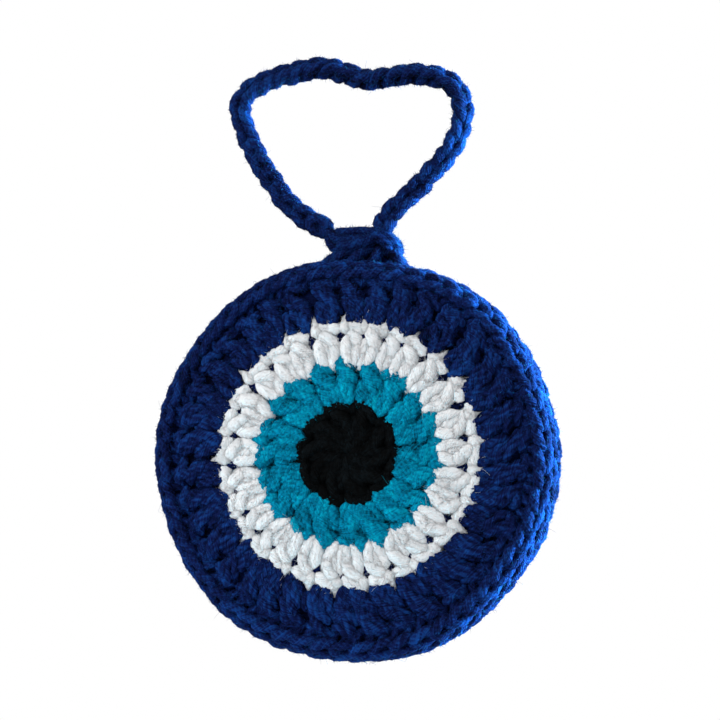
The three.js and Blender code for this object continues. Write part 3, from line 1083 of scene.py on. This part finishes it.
@dataclass(frozen=True)
class YarnFinish:
    """A spun yarn's colours and surface.

    Attributes:
        deep: darkest colour: darker fibres, and the painted shade down between the plies and strands.
        body: colour of most of it.
        crest: lightest colour: lighter fibres, and the painted highlight on the tips of the plies.
        sheen: strength of the soft glow of its loose fibres.
        spread: how far the colour wanders.
        gloss: strength of its shine.
        glow: share of the light that passes through its fibres.
        crease_shade_weight: how strongly the painted shade darkens the ply grooves and the strands'
            flanks.
    """

    deep: tuple[float, float, float]
    body: tuple[float, float, float]
    crest: tuple[float, float, float]
    sheen: float = 0.35
    spread: float = 0.5
    gloss: float = 0.03
    glow: float = 0.0
    crease_shade_weight: float = 0.16

    def material(self, name: str) -> bpy.types.Material:
        """Makes the material: fibre streaks along the plies, mottling, and painted shade that darkens
        the grooves and flanks.

        Args:
            name: the material's name.

        Returns:
            The material.
        """
        material = bpy.data.materials.new(name)
        material.use_nodes = True
        tree = material.node_tree
        shader = tree.nodes["Principled BSDF"]

        def node(kind: str, **settings: object) -> bpy.types.Node:
            """Makes a node and sets its properties and its inputs."""
            made = tree.nodes.new(kind)
            for key, value in settings.items():
                if hasattr(made, key):
                    setattr(made, key, value)
                else:
                    made.inputs[key.replace("_", " ")].default_value = value
            return made

        def link(output: bpy.types.NodeSocket, to: bpy.types.NodeSocket) -> None:
            """Joins two sockets."""
            tree.links.new(output, to)

        def weigh(value: bpy.types.NodeSocket, factor: float, plus: object) -> bpy.types.NodeSocket:
            """A value times a factor, plus a number or another value."""
            made = node("ShaderNodeMath", operation="MULTIPLY_ADD")
            link(value, made.inputs[0])
            made.inputs[1].default_value = factor
            if isinstance(plus, float):
                made.inputs[2].default_value = plus
            else:
                link(plus, made.inputs[2])
            return made.outputs[0]

        fibre = node("ShaderNodeUVMap", uv_map="Fibre")
        stretch = node("ShaderNodeMapping")
        stretch.inputs["Scale"].default_value = (0.22, 2.0, 1.0)
        link(fibre.outputs["UV"], stretch.inputs["Vector"])
        streak = node("ShaderNodeTexNoise", Scale=1.0, Detail=2.0, Roughness=0.5)
        link(stretch.outputs["Vector"], streak.inputs["Vector"])
        place = node("ShaderNodeTexCoord")
        mottle = node("ShaderNodeTexNoise", Scale=380.0, Detail=3.0, Roughness=0.55)
        link(place.outputs["Object"], mottle.inputs["Vector"])
        halo = node("ShaderNodeTexNoise", Scale=1900.0, Detail=2.0, Roughness=0.7)
        link(place.outputs["Object"], halo.inputs["Vector"])
        tone = node("ShaderNodeAttribute", attribute_name="tone")
        painted_strand_shade = node("ShaderNodeAttribute", attribute_name="painted_strand_shade")

        shade = weigh(streak.outputs["Fac"], 1.2 * self.spread, 0.5 - 1.1 * self.spread)
        shade = weigh(mottle.outputs["Fac"], 1.0 * self.spread, shade)
        # Painted shade: darker down the ply grooves and on the strands' flanks, lighter on their crests.
        shade = weigh(painted_strand_shade.outputs["Fac"], self.crease_shade_weight, shade)
        shade = weigh(tone.outputs["Fac"], 0.15, shade)
        ramp = node("ShaderNodeValToRGB")
        stops = ramp.color_ramp.elements
        stops[0].position, stops[0].color = 0.08, (*self.deep, 1)
        stops[1].position, stops[1].color = 0.95, (*self.crest, 1)
        stops.new(0.5).color = (*self.body, 1)
        link(shade, ramp.inputs["Fac"])
        link(ramp.outputs["Color"], shader.inputs["Base Color"])

        rough = node("ShaderNodeMapRange")
        rough.inputs["To Min"].default_value, rough.inputs["To Max"].default_value = 0.95, 0.74
        link(streak.outputs["Fac"], rough.inputs["Value"])
        link(rough.outputs["Result"], shader.inputs["Roughness"])
        height = weigh(halo.outputs["Fac"], 0.5, streak.outputs["Fac"])
        bump = node("ShaderNodeBump")
        bump.inputs["Strength"].default_value = 1.0
        bump.inputs["Distance"].default_value = 0.0005
        link(height, bump.inputs["Height"])
        link(bump.outputs["Normal"], shader.inputs["Normal"])
        shader.inputs["Specular IOR Level"].default_value = self.gloss
        shader.inputs["Subsurface Weight"].default_value = self.glow
        shader.inputs["Subsurface Radius"].default_value = (1.0, 1.0, 1.0)
        shader.inputs["Subsurface Scale"].default_value = 0.0008
        shader.inputs["Sheen Weight"].default_value = self.sheen
        shader.inputs["Sheen Roughness"].default_value = 0.45
        shader.inputs["Sheen Tint"].default_value = (*self.crest, 1)
        return material


FINISHES = {
    Yarn.BLACK: YarnFinish(
        deep=(0.0007, 0.0008, 0.0009), body=(0.0022, 0.0028, 0.0032), crest=(0.005, 0.008, 0.01),
        sheen=0.03, spread=0.7),
    Yarn.TEAL: YarnFinish(
        deep=(0.0002, 0.036, 0.065), body=(0.0003, 0.218, 0.380), crest=(0.0005, 0.43, 0.61),
        sheen=0.06, spread=0.8, gloss=0.03, glow=0.2, crease_shade_weight=0.2),
    Yarn.WHITE: YarnFinish(
        deep=(0.70, 0.77, 0.80), body=(0.86, 0.905, 0.925), crest=(0.87, 0.91, 0.925),
        sheen=0.12, spread=0.9, gloss=0.0, glow=0.6, crease_shade_weight=0.06),
    Yarn.BLUE: YarnFinish(
        deep=(0.0009, 0.0018, 0.011), body=(0.0044, 0.0112, 0.071), crest=(0.0065, 0.050, 0.235),
        sheen=0.05, spread=0.85, gloss=0.03, glow=0.12, crease_shade_weight=0.22),
    Yarn.FILLING: YarnFinish(
        deep=(0.5, 0.5, 0.48), body=(0.75, 0.74, 0.72), crest=(0.9, 0.9, 0.88),
        sheen=0.2, spread=0.3, gloss=0.2),
}


class Studio:
    """The floor, the lights and the camera."""

    def camera(self) -> None:
        """Sets the camera a little to the right of the front and below the middle."""
        azimuth, elevation, distance = math.radians(12.5), math.radians(-7.0), 0.5
        target = Vector((0.0010, 0.0, -0.0695))
        back = Vector((math.sin(azimuth) * math.cos(elevation),
                       -math.cos(azimuth) * math.cos(elevation), math.sin(elevation)))
        data = bpy.data.cameras.new("camera")
        data.lens, data.sensor_width = 100.0, 36.0
        data.clip_start, data.clip_end = 0.01, 20.0
        camera = bpy.data.objects.new("camera", data)
        camera.location = target + back * distance
        camera.rotation_mode = "QUATERNION"
        camera.rotation_quaternion = (-back).to_track_quat("-Z", "Y")
        bpy.context.scene.collection.objects.link(camera)
        bpy.context.scene.camera = camera

    def floor(self) -> None:
        """Lays a wide pale floor well below the ornament, which hangs."""
        half, height = 2.3, -0.32
        grid = np.array([(-half, -half, height), (half, -half, height), (half, half, height),
                         (-half, half, height)])
        mesh = bpy.data.meshes.new("floor")
        mesh.from_pydata(grid.tolist(), [], [(0, 1, 2, 3)])
        material = bpy.data.materials.new("pale_floor")
        material.use_nodes = True
        shader = material.node_tree.nodes["Principled BSDF"]
        shader.inputs["Base Color"].default_value = (0.86, 0.86, 0.87, 1)
        shader.inputs["Roughness"].default_value = 0.9
        mesh.materials.append(material)
        floor = bpy.data.objects.new("floor", mesh)
        bpy.context.scene.collection.objects.link(floor)

    def light(self, name: str, place: tuple[float, float, float], size: float, watts: float,
              colour: tuple[float, float, float] = (1.0, 1.0, 1.0), spread: float = 180.0) -> None:
        """Adds a square lamp that faces the ornament's middle.

        Args:
            name: the lamp's name.
            place: where it stands.
            size: length of its side.
            watts: its power.
            colour: its colour.
            spread: angle of the cone that it lights, in degrees.
        """
        data = bpy.data.lights.new(name, "AREA")
        data.spread = math.radians(spread)
        data.size, data.energy, data.color = size, watts, colour
        lamp = bpy.data.objects.new(name, data)
        lamp.location = place
        aim = Vector((0, 0, -0.08)) - Vector(place)
        lamp.rotation_mode = "QUATERNION"
        lamp.rotation_quaternion = aim.to_track_quat("-Z", "Y")
        bpy.context.scene.collection.objects.link(lamp)

    def build(self) -> None:
        """Sets up everything round the ornament."""
        self.camera()
        self.floor()
        self.light("key", (-0.55, -0.85, 0.55), 0.6, 9.5, (1.0, 0.96, 0.95))
        self.light("side", (0.42, 0.125, -0.02), 0.22, 4.4, (0.25, 0.8, 1.0), 60.0)
        self.light("fill", (0.1, 0.9, 0.5), 0.8, 6.0)
        world = bpy.data.worlds.new("pale_room")
        world.use_nodes = True
        tree = world.node_tree
        tree.nodes["Background"].inputs["Color"].default_value = (0.97, 0.95, 0.97, 1)
        tree.nodes["Background"].inputs["Strength"].default_value = 0.49
        seen = tree.nodes.new("ShaderNodeBackground")
        seen.inputs["Color"].default_value = (1.0, 1.0, 1.0, 1)
        mix, path = tree.nodes.new("ShaderNodeMixShader"), tree.nodes.new("ShaderNodeLightPath")
        tree.links.new(path.outputs["Is Camera Ray"], mix.inputs["Fac"])
        tree.links.new(tree.nodes["Background"].outputs[0], mix.inputs[1])
        tree.links.new(seen.outputs[0], mix.inputs[2])
        tree.links.new(mix.outputs[0], tree.nodes["World Output"].inputs["Surface"])
        scene = bpy.context.scene
        scene.world = world
        scene.view_settings.view_transform = "Standard"


# Short loose fibres on each piece; the faces' rounds are in order from the middle
ROUND_FIBRES = (7000, 17000, 23000, 22000)
EDGE_FIBRES, JOINING_FIBRES, LOOP_FIBRES, KNOB_FIBRES, ROOT_FIBRES = 18000, 16000, 20000, 5000, 2600
RIM_STITCHES = 60


class Ornament:
    """The whole ornament: two faces, a joined rim, a filling, a tab and a loop."""

    def __init__(self) -> None:
        """Makes one material for each yarn."""
        self.materials = {yarn: finish.material(yarn.value) for yarn, finish in FINISHES.items()}

    def dress(self, obj: bpy.types.Object, yarn: Yarn, *nodes: str) -> bpy.types.Object:
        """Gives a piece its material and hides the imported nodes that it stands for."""
        obj.data.materials.append(self.materials[yarn])
        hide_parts(*nodes)
        return obj

    def faces(self) -> None:
        """Builds the four rounds and the edge of both faces."""
        rounds = (pupil_round(), iris_round(), white_round(), blue_round())
        edge = RimRound("edge_round", RIM_STITCHES, 27.0, 2.7, 1.25,
                        ((-24.0, 27.0, 0.7), (27.0, 62.0, -0.7)), 0.5, 1.5)
        for side in Side:
            for made, count in zip(rounds, ROUND_FIBRES):
                name = f"{side.name.lower()}_{made.name}"
                obj = made.build(side, count).piece(name + "_yarn")
                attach(self.dress(obj, made.yarn, name), "disc")
            name = f"{side.name.lower()}_{edge.name}"
            obj = edge.build(side, EDGE_FIBRES).piece(name + "_yarn")
            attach(self.dress(obj, Yarn.BLUE, name), "disc")

    def rim(self) -> None:
        """Builds the round that joins the two faces."""
        joining = RimRound("joining_round", RIM_STITCHES, 90.0, 2.9, 1.3,
                           ((58.0, 90.0, 0.6), (90.0, 122.0, -0.6)), 0.5, 4.0)
        obj = joining.build(Side.FRONT, JOINING_FIBRES).piece("joining_round_yarn")
        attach(self.dress(obj, Yarn.BLUE, "joining_round"), "disc")

    def inside(self) -> None:
        """Builds the filling and the tied yarn ends."""
        filling = self.dress(Filling().build(), Yarn.FILLING, "stuffing")
        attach(filling, "disc")
        knots = (YarnEndKnot("pupil_knot", Yarn.BLACK), YarnEndKnot("iris_knot", Yarn.TEAL),
                 YarnEndKnot("white_knot", Yarn.WHITE))
        for side in Side:
            for knot in knots:
                node = f"{side.name.lower()}_{knot.name}"
                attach(self.dress(knot.build(node), knot.yarn, node), "disc")

    def loop(self) -> None:
        """Builds the hanging loop."""
        loop = HangingLoop()
        obj = self.dress(loop.build(LOOP_FIBRES).piece("hanging_loop_chain"), Yarn.BLUE, "hanging_loop")
        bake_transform(obj)
        line = loop.line(60) * MILLIMETRE
        round(loop.length() * MILLIMETRE, 4)
        LOG.info("loop length %.1f mm", loop.length())

    def tab(self) -> None:
        """Builds the knob under the loop and its root on the rim."""
        tab = Tab()
        knob = self.dress(tab.knob(KNOB_FIBRES).piece("hanger_tab_yarn"), Yarn.BLUE, "hanger_tab")
        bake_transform(knob)
        root = self.dress(tab.root(ROOT_FIBRES).piece("tab_tie_yarn"), Yarn.BLUE, "tab_tie")
        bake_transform(root)


def main() -> None:
    """Builds the ornament piece by piece."""
    logging.basicConfig(level=logging.INFO, format="%(message)s")
    Studio().build()
    ornament = Ornament()
    ornament.loop()
    ornament.tab()
    ornament.faces()
    ornament.rim()
    ornament.inside()


if __name__ == "__main__":
    main()
